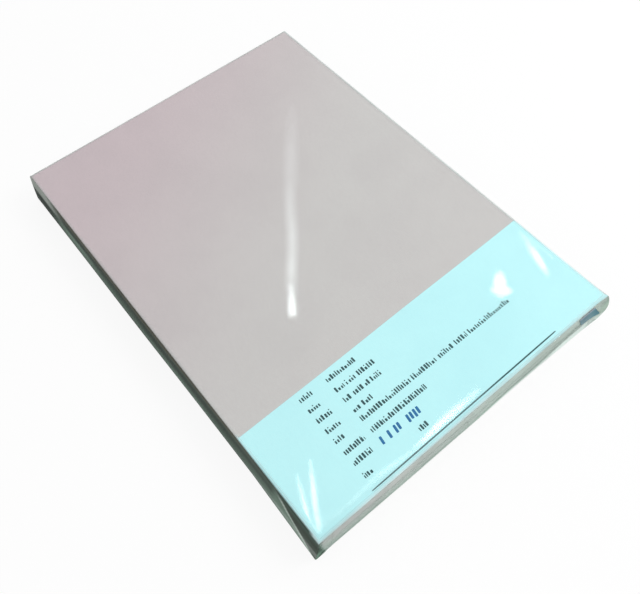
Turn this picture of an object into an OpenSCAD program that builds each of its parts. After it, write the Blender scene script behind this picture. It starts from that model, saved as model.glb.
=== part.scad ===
// Film-wrapped ream of coloured cardstock, lying flat.
// X runs across the short side, Y along the long side, Z up from the surface it lies on.
// The printed slip lies at the -Y end, and the bottom sheets stand out to -X and -Y.

/* [Sheets] */
// Short side of one sheet
sheet_w = 210; // [148:1:297]
// Long side of one sheet
sheet_l = 297; // [210:1:420]
// Height that one sheet takes up in the stack, with the air held under it
sheet_t = 0.22; // [0.12:0.01:0.4]
// Number of sheets in the stack
sheet_count = 100; // [60:1:100]
// Furthest that one sheet lies out of line with its neighbours
sheet_jog = 0.25; // [0:0.05:0.6]
// How far the bottom sheet stands out past the top one, across the short side
lean_x = 3; // [0:0.5:6]
// How far the bottom sheet stands out past the top one, along the long side
lean_y = 1.5; // [0:0.5:6]

/* [Label slip] */
// Length of the slip along the sheets' long side
slip_l = 68; // [30:1:120]
// Thickness of the slip's paper
slip_t = 0.12; // [0.08:0.01:0.3]

/* [Film wrap] */
// Thickness of one layer of film
film_t = 0.15; // [0.08:0.01:0.3]
// Room between the film and the sheet that stands out furthest
film_gap = 0.2; // [0.1:0.05:1]
// Width of the lap seam under the pack
lap_w = 30; // [10:1:60]
// How far the side tucks reach in over each end
tuck_reach = 9; // [4:0.5:20]
// How far the top flap reaches down over each end
top_flap_reach = 15; // [6:0.5:24]
// How far the bottom flap reaches up over each end
bottom_flap_reach = 14; // [6:0.5:24]
// Slant of the flaps' side edges, measured from the pack's upright corner
flap_slant = 42; // [20:1:50]

/* [Seal tab] */
// Width of the tab across the end
tab_w = 13; // [6:1:15]
// Thickness of the tab
tab_t = 0.1; // [0.05:0.01:0.3]
// Distance from the sheets' +X side to the middle of the tab
tab_inset = 11.5; // [11.5:0.5:190]
// Distance from the surface up to the tab's lower edge
tab_foot = 5.5; // [2:0.5:6]
// Distance from the top of the pack down to the tab's upper edge
tab_rim = 2; // [1:0.5:4]
// Slant of the tab's side edges, measured from upright
tab_slant = 30; // [0:1:33]

/* [Colours] */
// Colour of the cardstock
card_colour = "#c8bec3";
// Colour of the slip
slip_colour = "#c3f5fa";
// Colour of the film
film_colour = [0.42, 0.55, 0.48, 0.25];
// Colour of the tab
tab_colour = "#5f8d96";

/* [Hidden] */

// Facets of the small turn that the film makes over each long edge
turn_facets = 4;
// Steps, in degrees, of the three waves that put the sheets out of line
wave_x = 47;
wave_y = 71;
wave_slow = 13;

// Room between the film and a sheet that lies in line
side_gap = sheet_jog + film_gap;

// The stack lies on the lap seam's inner layer, and that on the film's floor
stack_z = 2 * film_t;
stack_h = sheet_count * sheet_t;
slip_z = stack_z + stack_h;
pack_h = slip_z + slip_t + film_t;

// Half sizes of the film's inside
half_x = sheet_w / 2 + side_gap;
half_y = sheet_l / 2 + side_gap;

// The tab lies on the layers that stand out furthest: one more where a tuck reaches in under both flaps
tab_seat = film_t * (tuck_reach + film_t > pack_h / 2 * tan(flap_slant) ? 2 : 1);

// How far the pack has leant at height z: none half way up
function lean_at(lean, z) = lean * (z / pack_h - 0.5);

// Place of sheet i out of the lean's straight line
function jog_x(i) = sheet_jog * (0.6 * sin(wave_x * i) + 0.4 * sin(wave_slow * i));
function jog_y(i) = sheet_jog * (0.6 * sin(wave_y * i) + 0.4 * cos(wave_slow * i));

// Points of a quarter turn about the centre c, from angle a
function turn(c, r, a) = [
    for (k = [0 : turn_facets]) c + r * [cos(a + 90 * k / turn_facets), sin(a + 90 * k / turn_facets)]
];

// Section of the pack: a leaning outline between two heights, turned at its four corners
function section(half, low, high, r, lean) = concat(
    turn([half - r + lean_at(lean, pack_h), high - r], r, 0),
    turn([-half + r + lean_at(lean, pack_h), high - r], r, 90),
    turn([-half + r + lean_at(lean, 0), low + r], r, 180),
    turn([half - r + lean_at(lean, 0), low + r], r, 270)
);

// Solid of the pack's shape, grown from the film's inside by out all round and by more at the two ends.
// The film turns over each edge with the room that it has there, so the corners of the sheets clear it.
module pack_form(out, end_more = 0) {
    low = film_t - out;
    high = pack_h - film_t + out;
    span = 2 * (half_x + half_y);
    intersection() {
        rotate([90, 0, 0])
            linear_extrude(height = span, center = true)
                polygon(section(half_x + out, low, high, film_gap + out, lean_x));
        rotate([90, 0, 90])
            linear_extrude(height = span, center = true)
                polygon(section(half_y + out + end_more, low, high, film_gap + out, lean_y));
    }
}

// Outline of a flap seen from the end, from the fold at height z0 to its free edge at height z1
module flap_outline(z0, z1) {
    half = half_x + film_t;
    inset = abs(z1 - z0) * tan(flap_slant);
    polygon([
        [-half + lean_at(lean_x, z0), z0],
        [half + lean_at(lean_x, z0), z0],
        [half - inset + lean_at(lean_x, z1), z1],
        [-half + inset + lean_at(lean_x, z1), z1]
    ]);
}

module top_flap() flap_outline(pack_h, pack_h - top_flap_reach);

module bottom_flap() flap_outline(0, bottom_flap_reach);

// Outline of the seal tab seen from the end: it slants the way of the flap's edge that it closes
module tab_outline() {
    high = pack_h - tab_rim;
    middle = sheet_w / 2 - tab_inset;
    shift = (high - tab_foot) / 2 * tan(tab_slant);
    polygon([
        [middle - tab_w / 2 + shift + lean_at(lean_x, tab_foot), tab_foot],
        [middle + tab_w / 2 + shift + lean_at(lean_x, tab_foot), tab_foot],
        [middle + tab_w / 2 - shift + lean_at(lean_x, high), high],
        [middle - tab_w / 2 - shift + lean_at(lean_x, high), high]
    ]);
}

// Outline of the side tuck at one side (-1 or 1) of an end
module tuck(side) {
    inner_edge = side * (half_x - tuck_reach);
    outer_edge = side * (half_x + film_t + lean_x);
    polygon([
        [outer_edge, 0],
        [inner_edge + lean_at(lean_x, 0), 0],
        [inner_edge + lean_at(lean_x, pack_h), pack_h],
        [outer_edge, pack_h]
    ]);
}

// An outline carried lengthways through one end (-1 or 1) of the pack
module through_end(end) {
    reach = half_y + lean_y + 4 * film_t;
    translate([0, end > 0 ? reach : 0, 0])
        rotate([90, 0, 0])
            linear_extrude(height = reach)
                children();
}

// The envelope fold that closes one end: a layer more wherever tucks and flaps lie on each other
module end_fold(end) {
    intersection() {
        pack_form(film_t, film_t);
        through_end(end) top_flap();
        through_end(end) bottom_flap();
    }
    for (side = [-1, 1]) {
        intersection() {
            pack_form(film_t, film_t);
            through_end(end) tuck(side);
            through_end(end) top_flap();
        }
        intersection() {
            pack_form(film_t, film_t);
            through_end(end) tuck(side);
            through_end(end) bottom_flap();
        }
        intersection() {
            pack_form(film_t, 2 * film_t);
            through_end(end) tuck(side);
            through_end(end) top_flap();
            through_end(end) bottom_flap();
        }
    }
}

module sheet_stack() {
    color(card_colour)
        for (i = [0 : sheet_count - 1])
            translate([
                lean_at(lean_x, stack_z + (i + 0.5) * sheet_t) + jog_x(i) - sheet_w / 2,
                lean_at(lean_y, stack_z + (i + 0.5) * sheet_t) + jog_y(i) - sheet_l / 2,
                stack_z + i * sheet_t
            ])
                cube([sheet_w, sheet_l, sheet_t]);
}

module label_slip() {
    color(slip_colour)
        translate([lean_at(lean_x, pack_h) - sheet_w / 2, lean_at(lean_y, pack_h) - sheet_l / 2, slip_z])
            cube([sheet_w, slip_l, slip_t]);
}

module film_wrap() {
    color(film_colour)
        difference() {
            union() {
                pack_form(film_t);
                end_fold(-1);
                end_fold(1);
            }
            difference() {
                pack_form(0);
                translate([-lap_w / 2, -sheet_l, 0])
                    cube([lap_w, 2 * sheet_l, stack_z]);
            }
        }
}

module seal_tab() {
    color(tab_colour)
        difference() {
            intersection() {
                pack_form(film_t, tab_seat + tab_t);
                through_end(-1) tab_outline();
            }
            pack_form(film_t, tab_seat);
        }
}

sheet_stack();
label_slip();
film_wrap();
seal_tab();
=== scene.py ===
import math
import bpy
import numpy as np
from mathutils import Matrix, Quaternion, Vector


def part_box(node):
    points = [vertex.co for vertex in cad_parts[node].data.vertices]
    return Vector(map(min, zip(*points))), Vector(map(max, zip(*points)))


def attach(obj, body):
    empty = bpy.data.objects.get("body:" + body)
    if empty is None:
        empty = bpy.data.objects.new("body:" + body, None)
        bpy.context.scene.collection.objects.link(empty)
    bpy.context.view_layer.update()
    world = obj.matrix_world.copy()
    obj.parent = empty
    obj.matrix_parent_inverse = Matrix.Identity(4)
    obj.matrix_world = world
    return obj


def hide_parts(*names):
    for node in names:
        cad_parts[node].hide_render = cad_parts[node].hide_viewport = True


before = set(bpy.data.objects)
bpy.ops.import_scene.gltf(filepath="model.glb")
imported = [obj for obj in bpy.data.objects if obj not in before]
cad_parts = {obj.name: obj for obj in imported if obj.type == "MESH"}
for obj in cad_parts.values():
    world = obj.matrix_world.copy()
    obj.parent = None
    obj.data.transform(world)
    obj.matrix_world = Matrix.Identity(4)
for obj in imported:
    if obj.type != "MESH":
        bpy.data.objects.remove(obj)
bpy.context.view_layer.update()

mm = 0.001

# The pack as the frame gives it. A4 card; the top sheets have slid +X and +Y over the bottom ones.
sheetLength = 0.297
wrapLow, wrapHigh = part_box("film_wrap")
slipLow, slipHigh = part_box("label_slip")
tabLow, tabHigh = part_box("seal_tab")
packHigh = wrapHigh[2]
leanX = slipLow[0] + slipHigh[0]
leanY = 2 * (slipLow[1] + sheetLength / 2)
topMiddle = Vector((leanX / 2, leanY / 2, slipHigh[2]))


# Small tools used by every piece

def clearSelection():
    if bpy.context.object and bpy.context.object.mode != 'OBJECT':
        bpy.ops.object.mode_set(mode='OBJECT')
    bpy.ops.object.select_all(action='DESELECT')


def makeActive(piece):
    clearSelection()
    piece.select_set(True)
    bpy.context.view_layer.objects.active = piece


def applyModifiers(piece):
    makeActive(piece)
    for modifier in list(piece.modifiers):
        bpy.ops.object.modifier_apply(modifier=modifier.name)


def applyPlace(piece):
    makeActive(piece)
    bpy.ops.object.transform_apply(location=True, rotation=True, scale=True)


def smoothByAngle(piece, degrees):
    makeActive(piece)
    bpy.ops.object.shade_smooth_by_angle(angle=math.radians(degrees))


def joinPieces(pieces):
    makeActive(pieces[0])
    for piece in pieces:
        piece.select_set(True)
    bpy.ops.object.join()
    return bpy.context.object


def thicken(piece, thickness):
    solid = piece.modifiers.new('thickness', 'SOLIDIFY')
    solid.thickness = thickness
    solid.offset = 0
    applyModifiers(piece)


def selectMesh():
    bpy.ops.object.mode_set(mode='EDIT')
    bpy.ops.mesh.select_all(action='SELECT')


def turnNormalsOut():
    bpy.ops.mesh.select_all(action='SELECT')
    bpy.ops.mesh.normals_make_consistent(inside=False)
    bpy.ops.object.mode_set(mode='OBJECT')


def readPoints(piece):
    flat = np.empty(len(piece.data.vertices) * 3)
    piece.data.vertices.foreach_get('co', flat)
    return flat.reshape(-1, 3)


def writePoints(piece, points):
    piece.data.vertices.foreach_set('co', points.ravel())
    piece.data.update()


def ramp(low, high, value):
    share = np.clip((value - low) / (high - low), 0, 1)
    return share * share * (3 - 2 * share)


def srgb(code, strength=1.0):
    parts = [int(code[i:i + 2], 16) / 255 for i in (1, 3, 5)]
    linear = [c / 12.92 if c <= 0.04045 else ((c + 0.055) / 1.055) ** 2.4 for c in parts]
    return tuple(c * strength for c in linear)


# Node helpers

def addNode(tree, kind, place, settings=None, values=None):
    node = tree.nodes.new(kind)
    node.location = place
    for key, value in (settings or {}).items():
        setattr(node, key, value)
    for key, value in (values or {}).items():
        node.inputs[key].default_value = value
    return node


def link(tree, source, target):
    tree.links.new(source, target)


def addMath(tree, operation, place, first, second=None, clamp=False):
    node = addNode(tree, 'ShaderNodeMath', place, {'operation': operation, 'use_clamp': clamp})
    for socket, value in zip(node.inputs, (first, second)):
        if value is None:
            continue
        if isinstance(value, (int, float)):
            socket.default_value = value
        else:
            link(tree, value, socket)
    return node.outputs[0]


def addMix(tree, place, factor, first, second, blend='MIX'):
    node = addNode(tree, 'ShaderNodeMix', place, {'data_type': 'RGBA', 'blend_type': blend})
    for socket, value in ((node.inputs[0], factor), (node.inputs[6], first), (node.inputs[7], second)):
        if isinstance(value, (int, float)):
            socket.default_value = value
        elif isinstance(value, tuple):
            socket.default_value = (*value, 1)
        else:
            link(tree, value, socket)
    return node.outputs[2]


def addAxes(tree, vector, place):
    node = addNode(tree, 'ShaderNodeSeparateXYZ', place)
    link(tree, vector, node.inputs[0])
    return node.outputs


def addBump(tree, shader, height, strength, distance):
    bump = addNode(tree, 'ShaderNodeBump', (500, -500), None, {'Strength': strength, 'Distance': distance})
    link(tree, height, bump.inputs['Height'])
    link(tree, bump.outputs[0], shader.inputs['Normal'])
    return bump.outputs[0]


def addSeen(tree):
    # 1 for what the camera sees, straight, in a mirror or through a clear body
    path = addNode(tree, 'ShaderNodeLightPath', (-600, 0))
    glossyOrClear = addMath(tree, 'MAXIMUM', (-500, 0), path.outputs['Is Glossy Ray'],
                            path.outputs['Is Transmission Ray'])
    return addMath(tree, 'MAXIMUM', (-400, 0), path.outputs['Is Camera Ray'], glossyOrClear)


def addRange(tree, place, value, fromLow, fromHigh, toLow, toHigh):
    node = addNode(tree, 'ShaderNodeMapRange', place, {'clamp': True, 'interpolation_type': 'SMOOTHSTEP'},
                   {'From Min': fromLow, 'From Max': fromHigh, 'To Min': toLow, 'To Max': toHigh})
    link(tree, value, node.inputs['Value'])
    return node.outputs['Result']


def newMaterial(name):
    material = bpy.data.materials.new(name)
    material.use_nodes = True
    tree = material.node_tree
    tree.nodes.clear()
    output = addNode(tree, 'ShaderNodeOutputMaterial', (1200, 0))
    shader = addNode(tree, 'ShaderNodeBsdfPrincipled', (800, 0))
    coords = addNode(tree, 'ShaderNodeTexCoord', (-1200, 0))
    link(tree, shader.outputs[0], output.inputs['Surface'])
    return material, tree, shader, coords.outputs['Object'], output


def newGroup(name, inputs, outputs):
    group = bpy.data.node_groups.new(name, 'ShaderNodeTree')
    for label, kind in inputs:
        group.interface.new_socket(name=label, in_out='INPUT', socket_type=kind)
    for label, kind in outputs:
        group.interface.new_socket(name=label, in_out='OUTPUT', socket_type=kind)
    inside = addNode(group, 'NodeGroupInput', (-900, 0))
    outside = addNode(group, 'NodeGroupOutput', (900, 0))
    return group, inside, outside


def useGroup(tree, group, place, coords, values):
    node = addNode(tree, 'ShaderNodeGroup', place, {'node_tree': group}, values)
    link(tree, coords, node.inputs['Vector'])
    return node


# Paper: short fibres and a slow cloud of tone, for the card, the slip and the ink on it
paperFibre, inside, outside = newGroup(
    'paperFibre',
    [('Vector', 'NodeSocketVector'), ('Fibre scale', 'NodeSocketFloat'),
     ('Cloud scale', 'NodeSocketFloat')],
    [('Fibre', 'NodeSocketFloat'), ('Cloud', 'NodeSocketFloat'), ('Height', 'NodeSocketFloat')])
stretch = addNode(paperFibre, 'ShaderNodeMapping', (-650, 200), None, {'Scale': (1.0, 0.35, 1.0)})
link(paperFibre, inside.outputs['Vector'], stretch.inputs['Vector'])
fibreNoise = addNode(paperFibre, 'ShaderNodeTexNoise', (-400, 200), None,
                     {'Detail': 5.0, 'Roughness': 0.65})
link(paperFibre, stretch.outputs[0], fibreNoise.inputs['Vector'])
link(paperFibre, inside.outputs['Fibre scale'], fibreNoise.inputs['Scale'])
cloudNoise = addNode(paperFibre, 'ShaderNodeTexNoise', (-400, -200), None,
                     {'Detail': 3.0, 'Roughness': 0.5})
link(paperFibre, inside.outputs['Vector'], cloudNoise.inputs['Vector'])
link(paperFibre, inside.outputs['Cloud scale'], cloudNoise.inputs['Scale'])
link(paperFibre, fibreNoise.outputs[0], outside.inputs['Fibre'])
link(paperFibre, cloudNoise.outputs[0], outside.inputs['Cloud'])
link(paperFibre, addMath(paperFibre, 'MULTIPLY', (200, 0), fibreNoise.outputs[0], cloudNoise.outputs[0]),
     outside.inputs['Height'])

# Film: fine crinkles drawn out along the wrap and slow waves, for the wrap and the seal tab
filmCrinkle, inside, outside = newGroup(
    'filmCrinkle',
    [('Vector', 'NodeSocketVector'), ('Crinkle scale', 'NodeSocketFloat'),
     ('Wave scale', 'NodeSocketFloat')],
    [('Crinkle', 'NodeSocketFloat'), ('Wave', 'NodeSocketFloat'), ('Height', 'NodeSocketFloat')])
drawn = addNode(filmCrinkle, 'ShaderNodeMapping', (-650, 200), None,
                {'Rotation': (0, 0, math.radians(12)), 'Scale': (1.0, 0.3, 2.4)})
link(filmCrinkle, inside.outputs['Vector'], drawn.inputs['Vector'])
crinkleNoise = addNode(filmCrinkle, 'ShaderNodeTexNoise', (-400, 200),
                       {'noise_type': 'RIDGED_MULTIFRACTAL'},
                       {'Detail': 3.0, 'Roughness': 0.45, 'Distortion': 0.4})
link(filmCrinkle, drawn.outputs[0], crinkleNoise.inputs['Vector'])
link(filmCrinkle, inside.outputs['Crinkle scale'], crinkleNoise.inputs['Scale'])
waveNoise = addNode(filmCrinkle, 'ShaderNodeTexNoise', (-400, -200), None,
                    {'Detail': 2.0, 'Roughness': 0.4})
link(filmCrinkle, inside.outputs['Vector'], waveNoise.inputs['Vector'])
link(filmCrinkle, inside.outputs['Wave scale'], waveNoise.inputs['Scale'])
link(filmCrinkle, crinkleNoise.outputs[0], outside.inputs['Crinkle'])
link(filmCrinkle, waveNoise.outputs[0], outside.inputs['Wave'])
crinkleShare = 0.12    # of the crinkles in the height, next to the waves
lowCrinkle = addMath(filmCrinkle, 'MULTIPLY', (0, 200), crinkleNoise.outputs[0], crinkleShare)
link(filmCrinkle, addMath(filmCrinkle, 'ADD', (300, 0), lowCrinkle, waveNoise.outputs[0]),
     outside.inputs['Height'])
print('node groups built')


# Camera

view = {
    'place': (-0.1345, -0.2039, 0.3426),  # metres from the middle of the top
    'aim': (-0.0191, -0.0443, 0.0),
    'roll': -4.0,                         # degrees, clockwise from level
    'lens': 38.63,                        # millimetres on a 36 mm wide sensor
}


def addCamera():
    data = bpy.data.cameras.new('viewCamera')
    data.lens = view['lens']
    data.sensor_width = 36
    data.clip_start = 0.01
    camera = bpy.data.objects.new('viewCamera', data)
    bpy.context.scene.collection.objects.link(camera)
    place = topMiddle + Vector(view['place'])
    level = (topMiddle + Vector(view['aim']) - place).to_track_quat('-Z', 'Y')
    turned = level @ Quaternion((0, 0, 1), math.radians(view['roll']))
    camera.matrix_world = Matrix.Translation(place) @ turned.to_matrix().to_4x4()
    bpy.context.scene.camera = camera


addCamera()
print('camera set')


# Stack of card: the CAD node keeps its stepped sheets and gets its paper

card = {
    'face': srgb('#cccac8'),
    'pinkSide': srgb('#cbbcc0'),   # the card is a little pinker towards its far -X corner
    'shade': srgb('#a89fa3'),
    'edgeLight': srgb('#cdc8c9'),
    'edgeDark': srgb('#b4acaf'),
    'pitch': 0.22 * mm,            # one sheet in the stack
    'fibreScale': 1500.0,
    'cloudScale': 28.0,
}


def cardMaterial():
    material, tree, shader, coords, _ = newMaterial('greyPinkCard')
    fibre = useGroup(tree, paperFibre, (-900, 300), coords,
                     {'Fibre scale': card['fibreScale'], 'Cloud scale': card['cloudScale']})
    axes = addAxes(tree, coords, (-900, -200))
    # pinker towards the -X side and the far end
    slant = addMath(tree, 'SUBTRACT', (-700, 0), axes['Y'],
                    addMath(tree, 'MULTIPLY', (-850, 0), axes['X'], 0.6))
    pink = addRange(tree, (-500, 0), slant, -0.03, 0.19, 0.0, 1.0)
    face = addMix(tree, (-300, 200), pink, card['face'], card['pinkSide'])
    cloud = addRange(tree, (-300, 400), fibre.outputs['Cloud'], 0.35, 0.75, 0.0, 0.10)
    clouded = addMix(tree, (-100, 200), cloud, face, card['shade'])
    speck = addRange(tree, (-100, 420), fibre.outputs['Fibre'], 0.3, 0.8, 0.0, 0.14)
    speckled = addMix(tree, (100, 200), speck, clouded, card['shade'])
    # each sheet's edge has its own tone, with a painted shade line where two sheets meet
    sheetNumber = addMath(tree, 'DIVIDE', (-700, -300), axes['Z'], card['pitch'])
    line = addMath(tree, 'FRACT', (-500, -400), sheetNumber)
    wholeNumber = addMath(tree, 'FLOOR', (-500, -250), sheetNumber)
    toneNoise = addNode(tree, 'ShaderNodeTexWhiteNoise', (-300, -250), {'noise_dimensions': '1D'})
    link(tree, wholeNumber, toneNoise.inputs['W'])
    tone = addMix(tree, (-100, -250), toneNoise.outputs['Value'], card['edgeLight'], card['edgeDark'])
    gapShade = addRange(tree, (-300, -450), line, 0.0, 0.22, 0.22, 0.0)
    edges = addMix(tree, (100, -250), gapShade, tone, card['shade'], 'MULTIPLY')
    facing = addNode(tree, 'ShaderNodeNewGeometry', (-300, -650))
    normalAxes = addAxes(tree, facing.outputs['True Normal'], (-100, -650))
    flat = addMath(tree, 'ABSOLUTE', (100, -650), normalAxes['Z'])
    link(tree, addMix(tree, (400, 0), flat, edges, speckled), shader.inputs['Base Color'])
    rough = addRange(tree, (400, -300), fibre.outputs['Fibre'], 0.2, 0.8, 0.78, 0.95)
    link(tree, rough, shader.inputs['Roughness'])
    addBump(tree, shader, fibre.outputs['Height'], 0.25, 0.02 * mm)
    shader.inputs['Specular IOR Level'].default_value = 0.25
    return material


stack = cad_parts['sheet_stack']
stack.data.materials.clear()
stack.data.materials.append(cardMaterial())
print('card stack dressed')


# Printed slip: paper plate with marks in place of its print

slip = {
    'paper': srgb('#c4f7fa'),
    'paperDeep': srgb('#b6ebf1'),
    'ink': srgb('#0b4145'),
    'inkPale': srgb('#25666a'),
    'stamp': srgb('#00649c'),
    'stampPale': srgb('#1586bc'),
    'skew': 1.4 * mm,        # the inner edge is cut this much out of square at each side
    'columns': 70,
    'rows': 24,
    'markLift': 0.02 * mm,
    'markSize': 1.0 * mm,    # the mark that is copied, before it is sized
    'corner': 0.16 * mm,
    'ruleY': -146.0,
    'ruleThick': 0.82,
    'blockWidths': (0.6, 1.35),     # the blocks that stand in for letters, in millimetres
    'blockGaps': (0.45, 0.85),
    'blockHeights': (1.7, 2.4, 3.1),
    'accentSize': 0.65,
    'accentRise': 2.0,
    'accentShare': 0.3,
    'stampPitch': 2.35,
    'stampSize': (1.5, 4.6),
    'stampTurn': -8,         # degrees
}

# Rows of marks, in millimetres from the middle of the top: the row's place in Y, then the start and width
# of each word
leftWords = ((-87.2, 8.0), (-94.8, 7.4), (-102.0, 10.0), (-109.4, 9.2),
             (-116.2, 6.2), (-123.8, 13.4), (-131.0, 12.0), (-139.0, 6.2))
leftStart = -67.8
rightStart = -49.4
rightWords = (
    (-87.2, ((0, 20.0),)),
    (-94.8, ((0, 5.8), (7.2, 1.0), (9.2, 4.2), (15.4, 12.2))),
    (-102.0, ((0, 4.8), (6.6, 6.4), (14.6, 2.8), (18.8, 6.6))),
    (-109.4, ((0, 4.8), (6.4, 6.6))),
    (-115.6, ((0, 34.4), (36.0, 18.0), (55.8, 10.8), (68.4, 8.8), (78.8, 31.2))),
    (-123.6, ((0, 38.4),)),
    (-139.0, ((19.4, 5.8),)),
)
stampWords = (-130.4, ((0.8, 1), (6.0, 1), (10.4, 2), (19.2, 4)))  # start and number of blocks


def slipMaterial(name, body, second, roughness):
    material, tree, shader, coords, _ = newMaterial(name)
    fibre = useGroup(tree, paperFibre, (-900, 300), coords, {'Fibre scale': 1100.0, 'Cloud scale': 22.0})
    cloud = addRange(tree, (-500, 200), fibre.outputs['Cloud'], 0.35, 0.75, 0.0, 0.35)
    clouded = addMix(tree, (-200, 200), cloud, body, second)
    speck = addRange(tree, (-500, -50), fibre.outputs['Fibre'], 0.35, 0.8, 0.0, 0.25)
    link(tree, addMix(tree, (100, 200), speck, clouded, second), shader.inputs['Base Color'])
    rough = addRange(tree, (100, -200), fibre.outputs['Fibre'], 0.2, 0.8, roughness - 0.08, roughness + 0.08)
    link(tree, rough, shader.inputs['Roughness'])
    addBump(tree, shader, fibre.outputs['Height'], 0.2, 0.02 * mm)
    shader.inputs['Specular IOR Level'].default_value = 0.25
    return material


def buildSlipPaper():
    clearSelection()
    size = [high - low for low, high in zip(slipLow, slipHigh)]
    middle = [(high + low) / 2 for low, high in zip(slipLow, slipHigh)]
    bpy.ops.mesh.primitive_grid_add(x_subdivisions=slip['columns'], y_subdivisions=slip['rows'],
                                    size=1, location=(middle[0], middle[1], slipHigh[2]))
    paper = bpy.context.object
    paper.name = 'labelSlip'
    paper.scale = (size[0], size[1], 1)
    applyPlace(paper)
    selectMesh()
    bpy.ops.mesh.extrude_region_move(TRANSFORM_OT_translate={'value': (0, 0, -size[2])})
    turnNormalsOut()
    points = readPoints(paper)
    across = (points[:, 0] - middle[0]) / (size[0] / 2)
    inward = (points[:, 1] - slipLow[1]) / size[1]
    # the inner edge is out of square and not quite straight
    points[:, 1] += inward ** 3 * (slip['skew'] * across + 0.12 * mm * np.sin(across * 5.3 + 0.8) - 0.2 * mm)
    writePoints(paper, points)
    smoothByAngle(paper, 40)
    return paper


def buildMark():
    # one plain block with rounded corners, copied for every mark on the slip
    clearSelection()
    bpy.ops.mesh.primitive_plane_add(size=slip['markSize'])
    mark = bpy.context.object
    selectMesh()
    bpy.ops.mesh.bevel(offset=slip['corner'], segments=2, affect='VERTICES')
    bpy.ops.mesh.extrude_region_move(TRANSFORM_OT_translate={'value': (0, 0, slip['markLift'])})
    turnNormalsOut()
    return mark


def placeMark(mark, x, y, width, height, turn=0.0):
    copy = mark.copy()
    copy.data = mark.data.copy()
    bpy.context.scene.collection.objects.link(copy)
    sized = Matrix.Diagonal((width, height, 1.0, 1.0))
    turned = Matrix.Rotation(math.radians(turn), 4, 'Z')
    place = Matrix.Translation((topMiddle.x + x * mm, topMiddle.y + y * mm, slipHigh[2]))
    copy.data.transform(place @ turned @ sized)
    return copy


def placeWord(mark, start, y, width, draw):
    # a word is a run of plain upright blocks, some tall and some with a small dot above
    copies = []
    low, high = min(slip['blockHeights']), max(slip['blockHeights'])
    x = start
    while x < start + width - 0.3:
        block = min(draw.uniform(*slip['blockWidths']), start + width - x)
        height = draw.choice(slip['blockHeights'])
        copies.append(placeMark(mark, x + block / 2, y + (height - low) / 2, block, height))
        if height < high and draw.random_sample() < slip['accentShare']:
            copies.append(placeMark(mark, x + block / 2, y + slip['accentRise'],
                                    slip['accentSize'], slip['accentSize']))
        x += block + draw.uniform(*slip['blockGaps'])
    return copies


def buildSlip():
    paper = buildSlipPaper()
    paper.data.materials.append(slipMaterial('cyanSlipPaper', slip['paper'], slip['paperDeep'], 0.8))
    mark = buildMark()
    draw = np.random.RandomState(7)
    inkMarks = []
    for y, width in leftWords:
        inkMarks += placeWord(mark, leftStart, y, width, draw)
    for y, words in rightWords:
        for start, width in words:
            inkMarks += placeWord(mark, rightStart + start, y, width, draw)
    inkMarks.append(placeMark(mark, -1.7, slip['ruleY'], 135.5, slip['ruleThick'], turn=0.4))
    stampMarks = []
    y, groups = stampWords
    for start, count in groups:
        for i in range(count):
            # every second bar is a little shorter
            x, shorter = rightStart + start + i * slip['stampPitch'], i % 2
            width, tall = slip['stampSize']
            stampMarks.append(placeMark(mark, x, y + 0.25 * shorter, width, tall - 0.5 * shorter,
                                        turn=slip['stampTurn']))
    ink = slipMaterial('printedInk', slip['ink'], slip['inkPale'], 0.7)
    stampInk = slipMaterial('stampInk', slip['stamp'], slip['stampPale'], 0.65)
    for marks, material in ((inkMarks, ink), (stampMarks, stampInk)):
        for piece in marks:
            piece.data.materials.append(material)
    bpy.data.objects.remove(mark)
    whole = joinPieces([paper] + inkMarks + stampMarks)
    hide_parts('label_slip')
    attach(whole, 'root')
    return whole


buildSlip()
print('label slip built')


# Film wrap: a closed shell of film with its folded ends

film = {
    'step': 1.5 * mm,              # grid over the flat faces
    'edgeRadius': 0.9 * mm,
    'arcSteps': 3,
    'wallRows': 20,
    'layer': 0.15 * mm,            # one layer of film in the CAD
    'sheetThick': 0.07 * mm,       # one folded flap, as seen
    'topWave': 0.05 * mm,
    'grain': 0.1,                  # height of the card's grain in the film, as a share of a wave's
    'sideBulge': 0.45 * mm,
    'endBulge': 0.15 * mm,
    'clear': srgb('#f4faf8'),
    # the side, fold, edge, tuck and far colours paint shade, sheen and highlights onto the film
    'sideShadeGreen': srgb('#48594e'),
    'sideShadeAndMottle': srgb('#333f37'),
    'sideSheen': srgb('#86a090'),
    'nearShade': srgb('#3a453c'),
    'foldHighlight': srgb('#d6e8dc'),   # a fold that comes down to the near corner
    'underEdgeShade': srgb('#57584c'),
    'nearEdgeShade': srgb('#435a50'),
    'tuckShade': srgb('#53665b'),
    'tuckSheen': srgb('#7d9c8a'),
    'farSheen': srgb('#b2b9b2'),
    'farShade': srgb('#28342c'),
    'greyEnd': srgb('#d2d6d2'),
    'greyLow': srgb('#b6bcb6'),
    # sage is partly the film's tint and partly painted reflection; the next is a painted shade line near the
    # foot
    'sage': srgb('#cbe8d9'),
    'sageFootShade': srgb('#7a9b88'),
    'noseShade': srgb('#74887c'),
    'noseMiddle': srgb('#adc6b3'),
    # the rim colours are milky fold and painted highlight along the film's rounded edge
    'rim': srgb('#f4ffff'),
    'rimCyanHighlight': srgb('#c9f5f8'),
    'rimGrey': srgb('#c3cbc8'),
    'rimPale': srgb('#e2ebea'),
    'foot': srgb('#f2fffa'),       # loose film at the foot of the near end
    # the -X side's cover carries its painted shade and reflection
    'leftShadeCover': 0.93,
    'rightCover': 0.5,             # the +X side is paler and lets more of the card show
}

wrapHalfX = wrapHigh[0] - leanX / 2
wrapHalfY = wrapHigh[1] - leanY / 2 - film['layer']

# Creases in the top, in millimetres from its middle: a ridge from one point to the other
topCreases = (
    {'start': (103.0, -147.0), 'end': (84.0, -128.0), 'width': 3.5, 'lift': 0.2, 'peak': 0.3},
    {'start': (-103.0, 146.0), 'end': (-82.0, 118.0), 'width': 3.0, 'lift': 0.35, 'peak': 0.3},
    {'start': (103.0, 146.0), 'end': (86.0, 112.0), 'width': 3.0, 'lift': 0.35, 'peak': 0.3},
)


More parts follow.
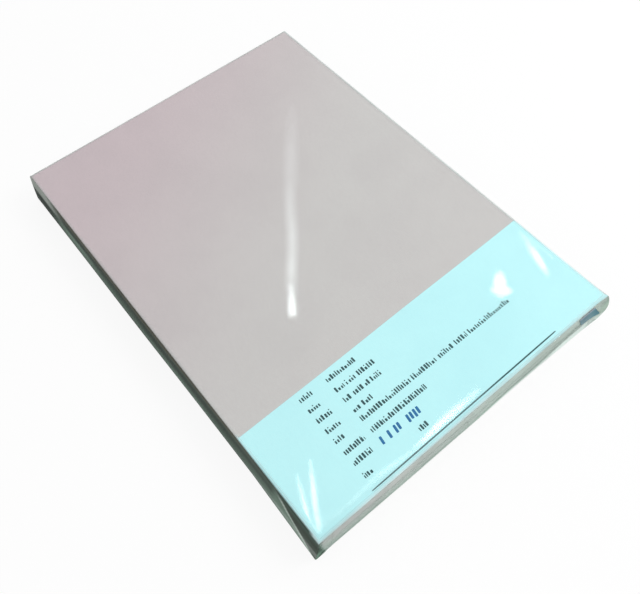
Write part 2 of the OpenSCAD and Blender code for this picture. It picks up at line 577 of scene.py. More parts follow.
def creaseLift(x, y, crease):
    start, end = np.array(crease['start']) * mm, np.array(crease['end']) * mm
    run = end - start
    length = np.hypot(*run)
    along = ((x - start[0]) * run[0] + (y - start[1]) * run[1]) / length ** 2
    across = ((x - start[0]) * run[1] - (y - start[1]) * run[0]) / length
    halfWidth = crease['width'] * mm
    profile = np.cos(np.clip(across / halfWidth, -1, 1) * math.pi / 2) ** 2
    rise = ramp(0.0, crease['peak'], along)
    fall = 1 - ramp(crease['peak'], 1.0, along)
    return crease['lift'] * mm * profile * rise * fall


def topLift(x, y):
    wave = (0.5 * np.sin(x * 103 + y * 45 + 0.6) + 0.3 * np.sin(x * 170 - y * 76 + 2.1)
            + 0.2 * np.sin(y * 140 + x * 37 + 4.0))
    lift = film['topWave'] * (wave + 1) / 2
    for crease in topCreases:
        lift = lift + creaseLift(x, y, crease)
    inset = np.minimum(wrapHalfX - np.abs(x), wrapHalfY - np.abs(y))
    return lift * ramp(0.0, 2.5 * mm, inset)


def sidePush(y, z):
    # long sides: slack film with folds that run along the pack
    height = z / packHigh
    slack = np.sin(math.pi * np.clip(height, 0, 1)) ** 0.6
    runs = np.sin(height * 14 + 1.6 * np.sin(y * 23 + 0.4)) * (0.5 + 0.5 * np.sin(y * 31 + 1.0))
    tighter = 1 - 0.65 * ramp(40 * mm, 140 * mm, y)
    return film['sideBulge'] * tighter * slack * (0.55 + 0.45 * np.sin(y * 47 + 2 * height) + 0.35 * runs)


def endPush(x, z):
    height = np.clip(z / packHigh, 0, 1)
    slack = np.sin(math.pi * height) ** 0.6
    return film['endBulge'] * slack * (1 + 0.6 * np.sin(x * 61 + 1.1) + 0.4 * np.sin(x * 133 + 5 * height))


def leanAt(lean, z):
    return lean * (z / packHigh - 0.5)


# Film that stands off the sheets: at the near +X corner, along the foot there, and low at both -X corners
loose = {
    'noseSpread': 6.5 * mm,
    'noseX': 2.3 * mm,
    'noseY': 2.6 * mm,
    'footOut': 0.7 * mm,
    'farOut': 2.6 * mm,
    'nearOut': 1.6 * mm,
    'nearOutRun': 55 * mm,
    'nearIn': 0.4 * mm,
}


def looseFilm(points):
    # the places where the film stands off, then the lean of the whole pack
    x, y, z = points[:, 0].copy(), points[:, 1].copy(), points[:, 2].copy()
    height = np.clip(z / packHigh, 0, 1)
    fromNose = np.hypot(x - wrapHalfX, y + wrapHalfY)
    nose = np.exp(-(fromNose / loose['noseSpread']) ** 2) * np.sin(math.pi * height) ** 0.65
    points[:, 0] += nose * loose['noseX']
    points[:, 1] -= nose * loose['noseY']
    # the foot of the near end stands out towards the +X corner
    atNearEnd = ramp(-wrapHalfY + 3 * mm, -wrapHalfY, y)
    footReach = loose['footOut'] * ramp(45 * mm, 100 * mm, x) * (1 - ramp(0.0, 0.25, height))
    points[:, 1] -= atNearEnd * footReach
    atFarEnd = ramp(wrapHalfY - 3 * mm, wrapHalfY, y)
    towardsLeft = 1 - ramp(-wrapHalfX, -wrapHalfX + 45 * mm, x)
    points[:, 1] += atFarEnd * towardsLeft * (1 - height) * loose['farOut']
    atLeft = 1 - ramp(-wrapHalfX, -wrapHalfX + 4 * mm, x)
    nearShare = np.clip(1 - (y + wrapHalfY) / loose['nearOutRun'], 0, 1)
    points[:, 0] -= atLeft * nearShare * (1 - height) * loose['nearOut']
    nearLeft = 1 - ramp(-wrapHalfX, -wrapHalfX + 60 * mm, x)
    points[:, 1] += atNearEnd * nearLeft * (1 - height) * loose['nearIn']
    points[:, 0] += leanAt(leanX, z)
    points[:, 1] += leanAt(leanY, z)
    return points


def blendColour(base, colour, share):
    return base * (1 - share[:, None]) + np.array(colour)[None, :] * share[:, None]


def paint(base, name, share):
    return blendColour(base, film[name], share)


def isolate(value, centre, width):
    return np.exp(-((value - centre) / width) ** 2)


def nearLeftTuck(x, y, z):
    # where the painted shade and reflection of the -X side turns round onto the near end, with painted sheen
    # at its low tip
    low = 1 - np.clip(z / packHigh, 0, 1)
    reach = (0.5 + 4.6 * low + 0.2 * np.sin(z * 2300)) * mm
    inward = x + wrapHalfX
    tuck = (y < -wrapHalfY + 1 * mm) * (1 - ramp(reach - 0.3 * mm, reach + 0.3 * mm, inward))
    sheenTip = tuck * (1 - ramp(1.2 * mm, 4.0 * mm, inward)) * ramp(0.45, 0.75, low)
    return tuck, sheenTip


def sideTint(x, y, z):
    # long sides, painted shade and reflection: brown-grey shade under the edge, dark green, paler painted
    # sheen in runs low down, a pale sheen patch at the far end
    height = np.clip(z / packHigh, 0, 1)
    drift = np.sin(y * 21 + 0.5) * 0.05 + np.sin(y * 57) * 0.03
    atNear = 1 - ramp(-wrapHalfY + 10 * mm, -wrapHalfY + 85 * mm, y)
    colour = np.tile(np.array(film['sideShadeGreen']), (len(x), 1))
    # painted shade in a band under the top edge
    shadeBand = isolate(height, 0.66 + drift + 0.06 * atNear, 0.14 - 0.05 * atNear)
    colour = paint(colour, 'sideShadeAndMottle', (0.85 - 0.35 * atNear) * shadeBand)
    # painted sheen in runs low down
    runs = isolate(height, 0.22 + drift, 0.16) * (0.45 + 0.55 * np.sin(y * 26 + 2.2) ** 2)
    colour = paint(colour, 'sideSheen', 0.5 * runs)
    # painted sheen: paler and wrinkled towards the near end
    lower = 1 - ramp(0.46, 0.7, height + drift)
    colour = paint(colour, 'sideSheen', 0.42 * atNear * lower)
    wrinkleSheen = np.clip(np.sin(y * 620 + z * 750 + 1.4 * np.sin(y * 190)), 0, 1) ** 3
    atCorner = 1 - ramp(-wrapHalfY + 8 * mm, -wrapHalfY + 42 * mm, y)
    colour = paint(colour, 'sideSheen', 0.6 * wrinkleSheen * atCorner * (1 - ramp(0.35, 0.7, height)))
    # a patch of painted sheen towards the far end
    sheenPatch = isolate(y, wrapHalfY - 55 * mm, 22 * mm) * isolate(height, 0.42, 0.12)
    colour = paint(colour, 'sideSheen', 0.85 * sheenPatch)
    # one fold comes down from the top to the foot of the near corner, with painted shade above it, painted
    # sheen below it and a painted highlight along it
    foldHigh = packHigh * np.clip((y + wrapHalfY - 2 * mm) / (34 * mm), 0, 1)
    besideFold = (x < 0) * (1 - ramp(-wrapHalfY + 33 * mm, -wrapHalfY + 38 * mm, y))
    colour = paint(colour, 'nearShade', 0.8 * besideFold * ramp(0.2 * mm, 1.6 * mm, z - foldHigh))
    below = besideFold * ramp(0.5 * mm, 2.5 * mm, foldHigh - z)
    colour = paint(colour, 'sideSheen', 0.5 * below)
    colour = paint(colour, 'foldHighlight', 0.95 * besideFold * isolate(z, foldHigh - 0.4 * mm, 1.2 * mm))
    # towards the far end: painted sheen above, painted shade below
    atFar = ramp(wrapHalfY - 46 * mm, wrapHalfY - 18 * mm, y)
    colour = paint(colour, 'farSheen', atFar * 0.8 * ramp(0.42, 0.66, height))
    colour = paint(colour, 'farShade', atFar * 0.9 * (1 - ramp(0.5, 0.66, height)))
    # painted shade under the top edge, darker green-grey towards the near end
    colour = paint(colour, 'underEdgeShade', ramp(0.78, 0.9, height) * (1 - atFar) * (1 - 0.5 * atNear))
    return paint(colour, 'nearEdgeShade', 0.8 * atNear * ramp(0.74, 0.88, height))


def rimTint(x, y, height):
    # milky folds and painted highlight round the rim of the top: colour and cover
    nearIn, farIn = wrapHalfY + y, wrapHalfY - y
    leftIn, rightIn = wrapHalfX + x, wrapHalfX - x
    colour = np.tile(np.array(film['clear']), (len(x), 1))
    cover = np.zeros(len(x))
    top = ramp(0.94, 0.97, height)
    overSlip = 1 - ramp(-82 * mm, -79 * mm, y)
    edges = ((farIn, 'rimGrey', 0.4, 'rim', 0.4), (leftIn, 'rimGrey', 0.3, 'rimCyanHighlight', 0.85),
             (rightIn, 'rimPale', 0.7, 'rim', 0.55))
    for inward, cardName, cardCover, slipName, slipCover in edges:
        rim = top * (1 - ramp(0.9 * mm, 2.2 * mm, inward)) * (0.85 + 0.15 * np.sin(y * 73 + x * 31))
        colour = blendColour(colour, film[cardName], rim * (1 - overSlip))
        colour = blendColour(colour, film[slipName], rim * overSlip)
        cover = np.maximum(cover, rim * (cardCover + (slipCover - cardCover) * overSlip))
    # the near edge gets the brightest painted highlight: white on the left, as cyan as the slip on the right
    rim = ramp(0.955, 0.975, height) * (1 - ramp(0.5 * mm, 1.8 * mm, nearIn)) * (0.9 + 0.1 * np.sin(x * 67))
    hazeAndSheen = top * (1 - ramp(4.5 * mm, 6.0 * mm, nearIn)) * (1 - ramp(0.0, 25 * mm, x))
    # a painted highlight along the -X edge near the near corner
    cornerHighlight = top * (1 - ramp(4 * mm, 9 * mm, nearIn)) * (1 - ramp(0.6 * mm, 1.3 * mm, leftIn))
    paintedHighlight = np.maximum(np.maximum(rim, hazeAndSheen), cornerHighlight)
    colour = paint(colour, 'rim', paintedHighlight)
    colour = paint(colour, 'rimCyanHighlight', paintedHighlight * (0.6 + 0.4 * ramp(-10 * mm, 70 * mm, x)))
    cover = np.maximum(cover, np.maximum(rim * 0.88, hazeAndSheen * 0.14))
    cover = np.maximum(cover, cornerHighlight * 0.85)
    return colour, cover


def endTint(x, y, z):
    # both ends: greyish above, sage below and to the right, the lower green partly the film's tint and partly
    # painted reflection, with a painted shade line near the foot
    height = np.clip(z / packHigh, 0, 1)
    low = 1 - height
    rightIn = wrapHalfX - x
    atNear = y < 0
    footTop = atNear * (3.5 * ramp(-10 * mm, 40 * mm, x) + 3.8 * ramp(50 * mm, 95 * mm, x)) * mm
    colour = np.tile(np.array(film['greyEnd']), (len(x), 1))
    sageShare = np.maximum(0.4 * ramp(0.25, 0.65, low), (0.65 + 0.25 * low) * ramp(-80 * mm, 30 * mm, x))
    colour = paint(colour, 'greyLow', ramp(0.4, 0.6, low) * (1 - ramp(-85 * mm, -20 * mm, x)))
    colour = paint(colour, 'sage', sageShare)
    colour = paint(colour, 'sageFootShade', 0.9 * isolate(z, footTop + 3.0 * mm, 2.4 * mm))
    cover = 0.72 + 0.1 * ramp(0.35, 0.7, low)
    # pale loose film at the foot towards the +X corner
    pale = ramp(0.5 * mm, 2.5 * mm, footTop) * (1 - ramp(-1.2 * mm, 0.5 * mm, z - footTop))
    colour = paint(colour, 'foot', pale)
    cover = np.maximum(cover, 0.92 * pale)
    gathered = atNear * (1 - ramp(3.0 * mm, 8.0 * mm, rightIn))
    return noseTint(colour, cover, height, gathered)


def noseTint(colour, cover, height, gathered):
    # film gathered at the near +X corner: painted shade under the top, pale at the foot
    shades = np.tile(np.array(film['foot']), (len(height), 1))
    shades = blendColour(shades, film['noseMiddle'], ramp(0.2, 0.5, height))
    shades = blendColour(shades, film['noseShade'], ramp(0.66, 0.86, height))
    colour = colour * (1 - gathered[:, None]) + shades * gathered[:, None]
    return colour, np.maximum(cover, 0.86 * gathered)


def filmTint(x, y, z):
    # colour of the film at each point, with its painted shade, sheen and highlights, and how much it covers
    # what lies under it
    height = np.clip(z / packHigh, 0, 1)
    nearIn = wrapHalfY + y
    colour, cover = rimTint(x, y, height)
    ends = ramp(wrapHalfY - 0.6 * mm, wrapHalfY - 0.1 * mm, np.abs(y)) * (1 - ramp(0.95, 0.98, height))
    endColour, endCover = endTint(x, y, z)
    tuck, _ = nearLeftTuck(x, y, z)
    colour = colour * (1 - ends[:, None]) + endColour * ends[:, None]
    cover = np.maximum(cover * (1 - ends), ends * endCover)
    # long sides, and the dark tuck at the near -X corner, where the pale rim bites into the side's upper
    # edge; the -X side's dark green cover is painted shade and reflection, the +X side is paler
    side = ramp(wrapHalfX - 0.8 * mm, wrapHalfX - 0.3 * mm, np.abs(x))
    side = side * np.where(x < 0, 1 - ramp(0.988, 1.0, height), 1 - ramp(0.955, 0.985, height))
    bite = (x < 0) * (1 - ramp(5 * mm, 8 * mm, nearIn)) * ramp(0.95, 0.98, height)
    side = np.maximum(side * (1 - bite), ends * tuck)
    leftShadeCover = np.where(x < 0, film['leftShadeCover'], film['rightCover'])
    sideColour = blendColour(sideTint(x, y, z), film['sage'], 0.6 * (x > 0))
    gathered = (x > 0) * (1 - ramp(3 * mm, 12 * mm, nearIn))
    sideColour, leftShadeCover = noseTint(sideColour, leftShadeCover, height, gathered)
    colour = colour * (1 - side[:, None]) + sideColour * side[:, None]
    cover = np.maximum(cover * (1 - side), side * leftShadeCover)
    return np.column_stack([colour, np.clip(cover, 0, 1)])


def storeTint(piece, tint):
    layer = piece.data.color_attributes.new(name='filmTint', type='FLOAT_COLOR', domain='POINT')
    layer.data.foreach_set('color', tint.ravel())


def addGridFace(height):
    flatX, flatY = wrapHalfX - film['edgeRadius'], wrapHalfY - film['edgeRadius']
    bpy.ops.mesh.primitive_grid_add(x_subdivisions=round(2 * flatX / film['step']),
                                    y_subdivisions=round(2 * flatY / film['step']), size=1,
                                    location=(0, 0, height))
    face = bpy.context.object
    face.scale = (2 * flatX, 2 * flatY, 1)
    applyPlace(face)
    return face


def stepOut(reach, nextReach, drop):
    # one ring of film further: the open edge goes out and down
    flatX, flatY = wrapHalfX - film['edgeRadius'], wrapHalfY - film['edgeRadius']
    bpy.ops.mesh.extrude_region_move(TRANSFORM_OT_translate={'value': (0, 0, -drop)})
    wider = ((flatX + nextReach) / (flatX + reach), (flatY + nextReach) / (flatY + reach), 1)
    bpy.ops.transform.resize(value=wider, center_override=(0, 0, 0))


def buildShell():
    clearSelection()
    shell = addGridFace(packHigh)
    shell.name = 'filmWrap'
    bpy.ops.object.mode_set(mode='EDIT')
    bpy.ops.mesh.select_mode(type='EDGE')
    bpy.ops.mesh.select_all(action='DESELECT')
    bpy.ops.mesh.select_non_manifold()
    radius, steps = film['edgeRadius'], film['arcSteps']
    turns = [math.pi / 2 * k / steps for k in range(steps + 1)]
    for before, after in zip(turns, turns[1:]):
        drop = radius * (math.cos(before) - math.cos(after))
        stepOut(radius * math.sin(before), radius * math.sin(after), drop)
    wallHigh = packHigh - 2 * radius
    for _ in range(film['wallRows']):
        stepOut(radius, radius, wallHigh / film['wallRows'])
    for before, after in zip(turns, turns[1:]):
        drop = radius * (math.sin(after) - math.sin(before))
        stepOut(radius * math.cos(before), radius * math.cos(after), drop)
    bpy.ops.object.mode_set(mode='OBJECT')
    clearSelection()
    base = addGridFace(0)
    selectMesh()
    bpy.ops.mesh.flip_normals()
    bpy.ops.object.mode_set(mode='OBJECT')
    shell = joinPieces([shell, base])
    selectMesh()
    bpy.ops.mesh.remove_doubles(threshold=0.02 * mm)
    turnNormalsOut()
    points = readPoints(shell)
    x, y, z = points[:, 0].copy(), points[:, 1].copy(), points[:, 2].copy()
    storeTint(shell, filmTint(x, y, z))
    onTop = z > packHigh - 0.01 * mm
    points[onTop, 2] += topLift(x[onTop], y[onTop])
    onSide = np.abs(x) > wrapHalfX - 0.01 * mm
    points[onSide, 0] += np.sign(x[onSide]) * sidePush(y[onSide], z[onSide])
    onEnd = np.abs(y) > wrapHalfY - 0.01 * mm
    points[onEnd, 1] += np.sign(y[onEnd]) * endPush(x[onEnd], z[onEnd])
    writePoints(shell, looseFilm(points))
    return shell


def buildPlate(corners, divisions, end, standOff, freeLift, tint):
    # one flap of film over an end: corners as (x, z), from the fold to the free edge
    clearSelection()
    bpy.ops.mesh.primitive_grid_add(x_subdivisions=divisions[0], y_subdivisions=divisions[1], size=2)
    plate = bpy.context.object
    points = readPoints(plate)
    along, reach = (points[:, 0] + 1) / 2, (points[:, 1] + 1) / 2
    first, second, third, fourth = (np.array(corner) for corner in corners)
    foldHighlight = np.outer(1 - along, first) + np.outer(along, second)
    freeLine = np.outer(1 - along, fourth) + np.outer(along, third)
    spread = foldHighlight * (1 - reach[:, None]) + freeLine * reach[:, None]
    x, z = spread[:, 0], spread[:, 1]
    # the free edge is not quite straight, and stands off a little
    z = z + reach ** 4 * 0.25 * mm * np.sin(x * 90 + 3 * end)
    away = standOff + endPush(x, z) + freeLift * reach ** 3 * (0.6 + 0.4 * np.sin(x * 88 + 2 * end))
    y = end * (wrapHalfY + away)
    storeTint(plate, tint(x, y, z, reach))
    writePoints(plate, looseFilm(np.column_stack([x, y, z])))
    thicken(plate, film['sheetThick'])
    return plate


flaps = {
    'topReach': 15 * mm,
    'bottomReach': 14 * mm,
    'tuckReach': 9 * mm,
    'slant': 42,               # degrees from upright
    'topStand': 0.16 * mm,
    'bottomStand': 0.26 * mm,
    'tuckStand': 0.08 * mm,
    'freeLift': 0.03 * mm,
}


def flapTint(colour, cover, edgeCover):
    def tint(x, y, z, reach):
        amount = cover + (edgeCover - cover) * ramp(0.9, 1.0, reach)
        amount = amount * (0.8 + 0.2 * np.sin(x * 140 + z * 300))
        tuck, sheenTip = nearLeftTuck(x, y, z)
        toned = blendColour(np.tile(np.array(colour), (len(x), 1)), film['tuckShade'], tuck)
        toned = blendColour(toned, film['tuckSheen'], sheenTip)
        amount = np.maximum(amount, tuck * film['leftShadeCover'])
        return np.column_stack([toned, np.clip(amount, 0, 1)])
    return tint


def buildEndFold(end):
    inset = math.tan(math.radians(flaps['slant']))
    high, half = packHigh - 0.5 * mm, wrapHalfX - 0.3 * mm
    topIn, bottomIn = flaps['topReach'] * inset, flaps['bottomReach'] * inset
    pieces = []
    topCorners = ((-half, high), (half, high),
                  (half - topIn, high - flaps['topReach']), (-half + topIn, high - flaps['topReach']))
    pieces.append(buildPlate(topCorners, (120, 8), end, flaps['topStand'], flaps['freeLift'],
                             flapTint(film['greyEnd'], 0.05, 0.16)))
    bottomCorners = ((-half, 0.4 * mm), (half, 0.4 * mm),
                     (half - bottomIn, flaps['bottomReach']), (-half + bottomIn, flaps['bottomReach']))
    pieces.append(buildPlate(bottomCorners, (120, 8), end, flaps['bottomStand'], flaps['freeLift'],
                             flapTint(film['sage'], 0.08, 0.2)))
    for side in (-1, 1):
        inner = side * (wrapHalfX - flaps['tuckReach'])
        outer = side * (wrapHalfX - 0.2 * mm)
        tuckCorners = ((outer, 0.4 * mm), (outer, high), (inner, high), (inner, 0.4 * mm))
        pieces.append(buildPlate(tuckCorners, (16, 8), end, flaps['tuckStand'], flaps['freeLift'],
                                 flapTint(film['sage'], 0.12, 0.22)))
    return pieces


lap = {
    'width': 30 * mm,          # the web's two edges lie on each other under the pack
    'height': 0.1 * mm,
    'sealWidth': 6 * mm,
}


def buildLap():
    clearSelection()
    bpy.ops.mesh.primitive_grid_add(x_subdivisions=20, y_subdivisions=90, size=2)
    strip = bpy.context.object
    points = readPoints(strip)
    across = points[:, 0].copy()
    x = across * lap['width'] / 2
    y = points[:, 1] * (wrapHalfY - film['edgeRadius'])
    edge = ramp(0.88, 1.0, np.abs(across))
    seal = isolate(x, 0.0, lap['sealWidth'] / 2) * (0.6 + 0.4 * np.sin(y * 900))
    cover = 0.1 + 0.45 * edge + 0.25 * np.clip(seal, 0, 1)
    storeTint(strip, np.column_stack([np.tile(np.array(film['rim']), (len(x), 1)), cover]))
    z = np.full(len(x), lap['height'])
    points = np.column_stack([x + 0.3 * mm * edge * np.sin(y * 55), y, z])
    points[:, 0] += leanAt(leanX, z)
    points[:, 1] += leanAt(leanY, z)
    writePoints(strip, points)
    thicken(strip, film['sheetThick'])
    return strip


def filmMaterial(name, mirrorLimit):
    material, tree, shader, coords, output = newMaterial(name)
    crinkle = useGroup(tree, filmCrinkle, (-900, 300), coords, {'Crinkle scale': 60.0, 'Wave scale': 35.0})
    tint = addNode(tree, 'ShaderNodeVertexColor', (-900, -100), {'layer_name': 'filmTint'})
    # the film clings to the coarse card and takes on its grain, but not over the smooth slip
    axes = addAxes(tree, coords, (-1100, -500))
    overCard = addRange(tree, (-900, -500), axes['Y'], -0.082, -0.078, 0.0, film['grain'])
    grainNoise = addNode(tree, 'ShaderNodeTexNoise', (-900, -750), None, {'Scale': 1600.0, 'Detail': 1.0})
    link(tree, coords, grainNoise.inputs['Vector'])
    grain = addMath(tree, 'MULTIPLY', (-700, -600), grainNoise.outputs[0], overCard)
    height = addMath(tree, 'ADD', (-600, -500), crinkle.outputs['Height'], grain)
    normal = addBump(tree, shader, height, 0.15, 0.05 * mm)
    fresnel = addNode(tree, 'ShaderNodeFresnel', (-500, -300), None, {'IOR': 1.5})
    link(tree, normal, fresnel.inputs['Normal'])
    # slack film never lies flat enough to become a full mirror at a low angle
    mirror = addMath(tree, 'MINIMUM', (-300, -300), fresnel.outputs[0], mirrorLimit)
    uneven = addRange(tree, (-500, 0), crinkle.outputs['Crinkle'], 0.2, 1.2, 0.92, 1.08)
    cover = addMath(tree, 'MULTIPLY', (-300, 0), tint.outputs['Alpha'], uneven, clamp=True)
    noMirror = addMath(tree, 'SUBTRACT', (-200, -200), 1.0, mirror)
    noCover = addMath(tree, 'SUBTRACT', (-200, -50), 1.0, cover)
    seeThrough = addMath(tree, 'MULTIPLY', (-100, -150), noMirror, noCover)
    solid = addMath(tree, 'SUBTRACT', (100, -150), 1.0, seeThrough, clamp=True)
    tintShare = addMath(tree, 'DIVIDE', (250, 0), cover, solid, clamp=True)
    slow = addRange(tree, (-500, 500), crinkle.outputs['Wave'], 0.3, 0.7, 0.0, 0.2)
    toned = addMix(tree, (-300, 500), slow, tint.outputs['Color'], film['sideShadeAndMottle'], 'MULTIPLY')
    link(tree, addMix(tree, (450, 200), tintShare, film['clear'], toned), shader.inputs['Base Color'])
    link(tree, addMath(tree, 'SUBTRACT', (450, 0), 1.0, tintShare, clamp=True), shader.inputs['Metallic'])
    rough = addRange(tree, (450, -200), crinkle.outputs['Wave'], 0.3, 0.7, 0.02, 0.045)
    link(tree, rough, shader.inputs['Roughness'])
    shader.inputs['Specular IOR Level'].default_value = 0.0
    clear = addNode(tree, 'ShaderNodeBsdfTransparent', (800, 200))
    blend = addNode(tree, 'ShaderNodeMixShader', (1000, 0))
    link(tree, solid, blend.inputs[0])
    link(tree, clear.outputs[0], blend.inputs[1])
    link(tree, shader.outputs[0], blend.inputs[2])
    link(tree, blend.outputs[0], output.inputs['Surface'])
    return material


def buildFilm():
    shell = buildShell()
    shell.data.materials.append(filmMaterial('clearFoldedFilm', 0.2))
    folded = filmMaterial('foldedUnderFilm', 0.05)
    layers = [buildLap()]
    for end in (-1, 1):
        layers += buildEndFold(end)
    for layer in layers:
        layer.data.materials.clear()
        layer.data.materials.append(folded)
    whole = joinPieces([shell] + layers)
    smoothByAngle(whole, 42)
    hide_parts('film_wrap')
    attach(whole, 'root')
    return whole


wrap = buildFilm()
print('film wrap built,', len(wrap.data.polygons), 'faces')


# Seal tab on the near end

tab = {
    'slate': srgb('#3f7884'),
    'slateDeep': srgb('#2e626f'),
    # a painted sheen and haze of the film's fold over the tab's top
    'hazeAndSheen': srgb('#aeb0c0'),   # where its top lies against the film's fold
    'width': 13 * mm,
    'corner': 0.8 * mm,
    'thick': 0.1 * mm,
    'standOff': 0.45 * mm,
    'topIn': 0.15 * mm,        # above the bottom flap it lies closer in
    'raise': 4.7 * mm,         # the loose film's fold hides the foot of the tab
}


def tabMaterial():
    material, tree, shader, coords, _ = newMaterial('slateSealTab')
    crinkle = useGroup(tree, filmCrinkle, (-900, 300), coords, {'Crinkle scale': 160.0, 'Wave scale': 90.0})
    share = addRange(tree, (-400, 200), crinkle.outputs['Wave'], 0.3, 0.7, 0.0, 1.0)
    axes = addAxes(tree, coords, (-900, -200))
    hazeLow, hazeHigh = tabHigh[2] - 2.4 * mm, tabHigh[2] - 0.4 * mm
    # painted sheen and haze towards the tab's top
    hazeAndSheenShare = addRange(tree, (-600, -200), axes['Z'], hazeLow, hazeHigh, 0.0, 0.55)
    body = addMix(tree, (-200, 200), share, tab['slate'], tab['slateDeep'])
    link(tree, addMix(tree, (0, 200), hazeAndSheenShare, body, tab['hazeAndSheen']), shader.inputs['Base Color'])
    rough = addRange(tree, (0, -100), crinkle.outputs['Crinkle'], 0.2, 1.2, 0.2, 0.4)
    link(tree, rough, shader.inputs['Roughness'])
    addBump(tree, shader, crinkle.outputs['Height'], 0.4, 0.03 * mm)
    shader.inputs['Specular IOR Level'].default_value = 0.06
    return material


def buildTab():
    clearSelection()
    # the tab slants back from its foot as far as the frame's own tab does; the lean is added at the end
    slant = (tabHigh[0] - tabLow[0] - tab['width']) / (tabHigh[2] - tabLow[2])
    size = (tab['width'], tabHigh[2] - tabLow[2] - tab['raise'])
    middle = ((tabHigh[0] + tabLow[0] - tab['raise'] * slant) / 2,
              (tabHigh[2] + tabLow[2] + tab['raise']) / 2)
    bpy.ops.mesh.primitive_plane_add(size=1)
    plate = bpy.context.object
    plate.name = 'sealTab'
    plate.scale = (size[0], size[1], 1)
    applyPlace(plate)
    selectMesh()
    bpy.ops.mesh.subdivide(number_cuts=11)
    bpy.ops.object.mode_set(mode='OBJECT')
    points = readPoints(plate)
    # the four corners are pulled round
    half = np.array(size) / 2
    excess = np.maximum(np.abs(points[:, :2]) - (half - tab['corner']), 0)
    length = np.hypot(excess[:, 0], excess[:, 1])
    pull = np.where(length > tab['corner'], tab['corner'] / np.maximum(length, 1e-9), 1)
    kept = np.minimum(np.abs(points[:, :2]), half - tab['corner']) + excess * pull[:, None]
    flat = np.sign(points[:, :2]) * kept
    x, z = flat[:, 0] - flat[:, 1] * slant + middle[0], flat[:, 1] + middle[1]
    x -= leanAt(leanX, z)
    closer = ramp(flaps['bottomReach'] + 0.5 * mm, tabHigh[2] - 2 * mm, z)
    standOff = tab['standOff'] - tab['topIn'] * closer
    y = -(wrapHalfY + standOff + endPush(x, z) + 0.05 * mm * np.sin(x * 420))
    writePoints(plate, looseFilm(np.column_stack([x, y, z])))
    thicken(plate, tab['thick'])
    smoothByAngle(plate, 35)
    plate.data.materials.append(tabMaterial())
    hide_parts('seal_tab')
    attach(plate, 'root')
    return plate


buildTab()
print('seal tab built')


# Floor, world and lamps

light = {
    'skyLevel': 0.76,
    'floorColour': (0.88, 0.88, 0.88),
    'floorGlow': 0.88,     # share of plain white in the floor that the camera sees
    'keyPlace': (0.75, -0.45, 0.85),
    'keySize': 0.6,
    'keyPower': 6.0,
    'glintColour': (0.93, 0.98, 1.0),
}

# Highlights on the flat film: name, start and end in millimetres from the middle of the top, width and
# radiance. Each is the mirror image of a lamp. A soft one fades out to all sides.
crispGlints = (
    ('wedgeLong', (-39.2, -43.1), (-27.0, -26.6), 0.9, 24.0),
    ('wedgeMiddle', (-39.2, -43.1), (-31.0, -32.2), 1.8, 20.0),
    ('wedgeBase', (-39.5, -43.4), (-34.6, -37.0), 3.0, 22.0),
    ('leafLine', (101.0, -95.0), (101.4, -113.5), 0.8, 4.0),
)
softGlints = (
    ('streakA', (-36.0, -39.0), (-4.0, 2.0), 8.0, 4.8),
    ('streakB', (-30.0, -31.0), (20.0, 32.0), 9.5, 3.6),
    ('streakC', (-16.0, -13.0), (40.0, 58.0), 10.0, 2.1),
    ('streakD', (4.0, 12.0), (62.0, 86.0), 10.5, 1.3),
    ('blotchTall', (74.0, -98.6), (59.2, -110.8), 8.6, 20.0),
    ('blotchWide', (58.4, -103.6), (70.0, -111.6), 8.0, 20.0),
    ('leaf', (97.4, -95.4), (91.3, -118.4), 5.6, 15.0),
    ('leafTop', (101.0, -86.0), (95.6, -103.0), 4.6, 4.0),
    ('cornerRight', (-82.6, -114.0), (-103.6, -149.0), 3.2, 14.0),
    ('cornerLow', (-95.0, -136.0), (-103.0, -147.5), 3.4, 9.0),
    ('cornerLeft', (-92.4, -114.5), (-105.6, -146.5), 2.4, 13.0),
    ('arcStart', (-101.0, -143.9), (-58.0, -144.2), 1.6, 2.5),
    ('arcMiddle', (-84.0, -143.4), (-24.0, -144.4), 3.4, 3.6),
    ('arcEnd', (-52.0, -144.9), (11.0, -142.2), 4.8, 14.0),
)
softLayers = 3
glintHeight = 1.0    # of those lamps over the top, in metres


def addFloor():
    clearSelection()
    bpy.ops.mesh.primitive_plane_add(size=8, location=(0, 0, -0.05 * mm))
    floor = bpy.context.object
    floor.name = 'paleFloor'
    material = bpy.data.materials.new('paleFloor')
    material.use_nodes = True
    tree = material.node_tree
    tree.nodes.clear()
    output = addNode(tree, 'ShaderNodeOutputMaterial', (900, 0))
    matt = addNode(tree, 'ShaderNodeBsdfDiffuse', (0, 200), None, {'Color': (*light['floorColour'], 1)})
    glow = addNode(tree, 'ShaderNodeEmission', (0, 0))
    both = addNode(tree, 'ShaderNodeMixShader', (250, 100))
    link(tree, addMath(tree, 'MULTIPLY', (-200, 0), addSeen(tree), light['floorGlow']), both.inputs[0])
    link(tree, matt.outputs[0], both.inputs[1])
    link(tree, glow.outputs[0], both.inputs[2])
    # seen from below the floor lets the underside show
    facing = addNode(tree, 'ShaderNodeNewGeometry', (250, -200))
    clear = addNode(tree, 'ShaderNodeBsdfTransparent', (250, -50))
    blend = addNode(tree, 'ShaderNodeMixShader', (600, 0))
    link(tree, facing.outputs['Backfacing'], blend.inputs[0])
    link(tree, both.outputs[0], blend.inputs[1])
    link(tree, clear.outputs[0], blend.inputs[2])
    link(tree, blend.outputs[0], output.inputs['Surface'])
    floor.data.materials.append(material)


def addWorld():
    world = bpy.data.worlds.new('softRoom')
    bpy.context.scene.world = world
    world.use_nodes = True
    tree = world.node_tree
    tree.nodes.clear()
    output = addNode(tree, 'ShaderNodeOutputWorld', (600, 0))
    sky = addNode(tree, 'ShaderNodeBackground', (300, 0), None, {'Color': (1, 1, 1, 1)})
    strength = addRange(tree, (0, 0), addSeen(tree), 0.0, 1.0, light['skyLevel'], 1.0)
    link(tree, strength, sky.inputs['Strength'])
    link(tree, sky.outputs[0], output.inputs['Surface'])


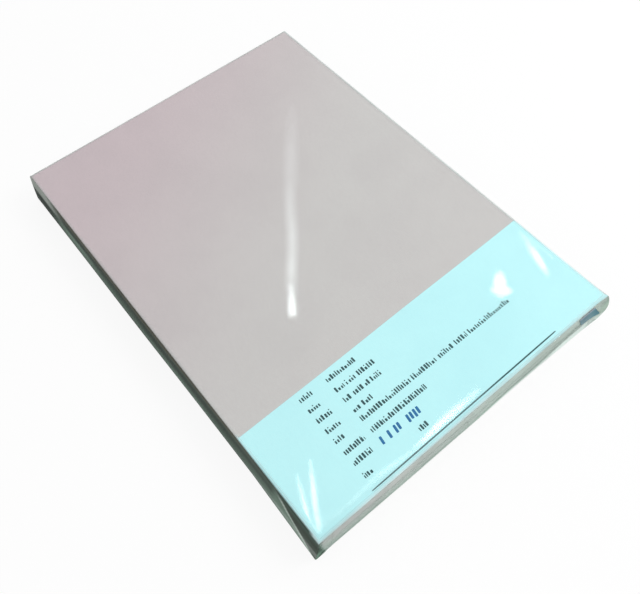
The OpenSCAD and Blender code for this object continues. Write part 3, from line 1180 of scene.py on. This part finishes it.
def addPanel(name, start, end, width, radiance, shape):
    # an area lamp that faces down, with its long side from start to end
    run = end - start
    data = bpy.data.lights.new(name, 'AREA')
    data.shape = shape
    data.size, data.size_y = run.length, width
    data.energy = radiance * run.length * width * math.pi
    data.color = light['glintColour']
    lamp = bpy.data.objects.new(name, data)
    bpy.context.scene.collection.objects.link(lamp)
    turn = math.atan2(run.y, run.x)
    lamp.matrix_world = Matrix.Translation((start + end) / 2) @ Matrix.Rotation(turn, 4, 'Z')


def addGlint(name, glintStart, glintEnd, glintWidth, radiance, soft):
    # the flat film mirrors a lamp at that height into this place as the camera sees it
    eye = Vector(view['place'])
    spread = 1 + glintHeight / eye.z
    ends = []
    for point in (glintStart, glintEnd):
        spot = Vector((point[0] * mm, point[1] * mm, 0))
        over = Vector((eye.x, eye.y, 0)) + (spot - Vector((eye.x, eye.y, 0))) * spread
        ends.append(topMiddle + over + Vector((0, 0, glintHeight)))
    start, end = ends
    width = glintWidth * mm * spread
    if not soft:
        addPanel(name, start, end, width, radiance, 'RECTANGLE')
        return
    middle = (start + end) / 2
    for k in range(softLayers):
        share = (k + 1) / softLayers
        low = middle + (start - middle) * share + Vector((0, 0, 2 * k * mm))
        high = middle + (end - middle) * share + Vector((0, 0, 2 * k * mm))
        addPanel(f'{name}{k}', low, high, width * share, radiance / softLayers, 'ELLIPSE')


def addKey():
    data = bpy.data.lights.new('keyLamp', 'AREA')
    data.shape = 'SQUARE'
    data.size = light['keySize']
    data.energy = light['keyPower']
    lamp = bpy.data.objects.new('keyLamp', data)
    bpy.context.scene.collection.objects.link(lamp)
    lamp.visible_glossy = False   # it lights the pack and leaves no square in the film
    place = Vector(light['keyPlace'])
    aim = (topMiddle - place).to_track_quat('-Z', 'Y')
    lamp.matrix_world = Matrix.Translation(place) @ aim.to_matrix().to_4x4()


addFloor()
addWorld()
addKey()
for row in crispGlints:
    addGlint(*row, soft=False)
for row in softGlints:
    addGlint(*row, soft=True)
bpy.context.scene.view_settings.view_transform = 'Standard'
print('floor, world and lamps set')
